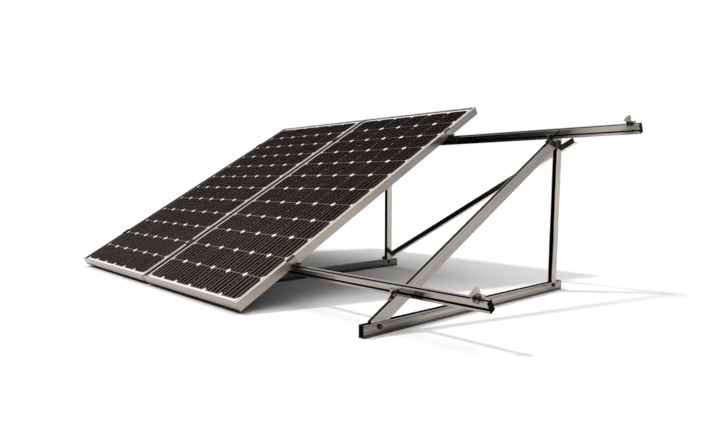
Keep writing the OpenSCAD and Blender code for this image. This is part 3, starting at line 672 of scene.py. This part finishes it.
def module_metal(side, edge, axis):
    """Satin aluminium of one side of a module's frame, with painted light and shade in the tone of its lip.
    """
    nodes = material_nodes(f"{side}_module_metal_{edge}")
    local = module_place(nodes, side)
    u, v, h = nodes.split(local)
    lines = nodes.lines(local, MODULE_LINES, axis, detail=3.0)
    speckle = nodes.noise(local, scale=260.0, detail=2.0)
    wear = nodes.times(nodes.vary(lines, *MODULE_WEAR), nodes.vary(speckle, *MODULE_WEAR))
    lip = nodes.rise(h, *[MODULE_THICKNESS - depth for depth in LIP_DEPTH])
    # Each edge's lip takes its own painted light and shade
    tone = nodes.mix(lip, upright_face(nodes, side, edge, v, h), LIP_LIGHT_AND_SHADE[edge])
    metallic = 1.0
    if (side, edge) == ("left", "right"):
        metallic = nodes.remap(lip, 0.0, 1.0, GAP_SIDE_METALLIC, 1.0)
    # Painted shade: black at the front foot and inside the left edge
    black = painted_shade_parts(nodes, side, edge, u, h, lip)
    return nodes.principled(
        color=nodes.mix(black, nodes.shade(tone, wear), PAINTED_SHADE_BLACK),
        metallic=nodes.math("SUBTRACT", metallic, black),
        roughness=nodes.vary(lines, *MODULE_ROUGHNESS),
        specular=0.0,
        normal=nodes.bump(lines, MODULE_BUMP),
    )


def clear_glass(name):
    """Low-iron glass that lets light through straight, with a thin mirror on its outer faces."""
    nodes = material_nodes(name)
    grazing = nodes.add("ShaderNodeLayerWeight")
    nodes.feed(grazing.inputs["Blend"], GLASS_BLEND)
    geometry = nodes.add("ShaderNodeNewGeometry")
    outer = nodes.math("SUBTRACT", 1.0, geometry.outputs["Backfacing"])
    gloss = nodes.times(grazing.outputs["Fresnel"], GLASS_GLOSS)
    haze = nodes.noise(nodes.place(), scale=6.0, detail=2.0)
    mirror = nodes.add("ShaderNodeBsdfGlossy")
    nodes.feed(mirror.inputs["Roughness"], nodes.vary(haze, *GLASS_ROUGHNESS))
    clear = nodes.add("ShaderNodeBsdfTransparent")
    blend = nodes.add("ShaderNodeMixShader")
    nodes.feed(blend.inputs[0], nodes.times(gloss, outer))
    nodes.feed(blend.inputs[1], clear.outputs[0])
    nodes.feed(blend.inputs[2], mirror.outputs[0])
    return nodes.end(blend)


def dress_module(side):
    prefix = f"{side}_module"
    for edge, axis in (("lower", X), ("upper", X), ("left", Y), ("right", Y)):
        dress([f"{prefix}_frame_{edge}"], module_metal(side, edge, axis))
    keys = brushed_metal(f"{prefix}_keys", KEY_METAL, KEY_ROUGHNESS, KEY_GRAIN)
    dress([f"{prefix}_corner_keys"], keys)
    dress([f"{prefix}_cells"], cell_material(side))
    dress([f"{prefix}_glass"], clear_glass(f"{prefix}_clear"))
    dress([f"{prefix}_back_sheet"], backing_sheet(side))
    black = moulded_plastic(f"{prefix}_black", BOX_BLACK, BOX_ROUGHNESS)
    dress([f"{prefix}_junction_box", f"{prefix}_box_lid", f"{prefix}_cable_glands"], black)


def dress_small_pieces():
    dress(["diagonal_brace"], brace_metal())
    caps = moulded_plastic("black_caps", CAP_BLACK, CAP_ROUGHNESS)
    dress(["base_end_caps", "rail_end_caps"], caps)
    steel = brushed_metal("dark_steel", DARK_STEEL, STEEL_ROUGHNESS, STEEL_GRAIN)
    dress(["frame_bolts", "frame_nuts", "brace_bolts", "brace_nuts", "bracket_beam_bolts"], steel)
    dress(["bracket_rail_bolts", "bracket_nuts", "clamp_bolts", "clamp_slot_nuts"], steel)
    washer = brushed_metal("washer_steel", WASHER_STEEL, STEEL_ROUGHNESS, STEEL_GRAIN)
    dress(["frame_washers", "brace_washers", "clamp_washers", "foot_spacers"], washer)
    dress(["end_clamps_left", "end_clamps_right", "mid_clamps"], tight_clamp_metal())
    roughness = LOOSE_CLAMP_ROUGHNESS
    loose = brushed_metal("loose_clamp_metal", LOOSE_CLAMP, roughness, CLAMP_GRAIN, LOOSE_CLAMP_HIGH)
    dress(["end_clamps_loose", "lower_rail_brackets", "upper_rail_brackets"], loose)


def make_camera():
    camera = bpy.data.cameras.new("camera")
    camera.lens = LENS
    camera.sensor_width = SENSOR
    camera.clip_end = CAMERA_REACH
    camera.shift_x = (IMAGE_WIDTH / 2 - CENTRE_X) / IMAGE_WIDTH
    camera.shift_y = (CENTRE_Y - IMAGE_HEIGHT / 2) / IMAGE_WIDTH
    holder = bpy.data.objects.new("camera", camera)
    bpy.context.scene.collection.objects.link(holder)
    right = CAMERA_RIGHT.normalized()
    back = right.cross(CAMERA_UP).normalized()
    up = back.cross(right)
    turn = Matrix((right, up, back)).transposed().to_4x4()
    start = Vector(slope_point(MODULE_X["right"], 0, OFFSET_START_HEIGHT))
    holder.matrix_world = Matrix.Translation(start + CAMERA_OFFSET) @ turn
    bpy.context.scene.camera = holder


def make_floor():
    """White floor where it is seen or mirrored, and greyer for the light that it scatters."""
    nodes = material_nodes("floor_white")
    tone = nodes.mix(nodes.seen(), (FLOOR_BOUNCE,) * 3, (FLOOR_SEEN,) * 3)
    clouds = nodes.noise(nodes.place(), scale=3.0, detail=2.0)
    uneven = nodes.remap(clouds, 0.0, 1.0, 0.99, 1.0)
    white = nodes.principled(color=nodes.shade(tone, uneven), roughness=0.9, specular=0.0)
    bpy.ops.mesh.primitive_plane_add(size=FLOOR_SIZE, location=(0, 0, -FLOOR_DROP))
    floor = bpy.context.object
    floor.name = "floor"
    floor.data.materials.append(white)


def make_world():
    """White room for what is seen or mirrored; scattered light comes mostly from overhead."""
    nodes = Nodes(bpy.data.worlds.new("studio"), "ShaderNodeOutputWorld")
    direction = nodes.add("ShaderNodeTexCoord")
    height = nodes.split(direction.outputs["Generated"])[Z]
    steep = nodes.math("POWER", height, ZENITH_POWER, clamp=True)
    strength = nodes.add("ShaderNodeMix")
    nodes.feed(strength.inputs["Factor"], nodes.seen())
    nodes.feed(strength.inputs["A"], nodes.remap(steep, 0.0, 1.0, HORIZON_FILL, ZENITH_FILL))
    nodes.feed(strength.inputs["B"], 1.0)
    background = nodes.add("ShaderNodeBackground")
    nodes.feed(background.inputs["Color"], (1, 1, 1, 1))
    nodes.feed(background.inputs["Strength"], strength.outputs["Result"])
    bpy.context.scene.world = nodes.end(background)


def make_sun():
    sun = bpy.data.lights.new("key", "SUN")
    sun.energy = SUN_STRENGTH
    sun.angle = SUN_WIDTH
    lamp = bpy.data.objects.new("key", sun)
    bpy.context.scene.collection.objects.link(lamp)
    lamp.rotation_euler = Vector(SUN_FROM).to_track_quat("Z", "Y").to_euler()


for triangle in ("right", "middle", "left"):
    dress_base_rail(triangle)
    dress_rear_post(triangle)
    dress_sloped_beam(triangle)
for rail in RAIL_V:
    dress_cross_rail(rail)
for module in MODULE_X:
    dress_module(module)
dress_small_pieces()
make_camera()
make_floor()
make_world()
make_sun()
bpy.context.scene.view_settings.view_transform = "Standard"
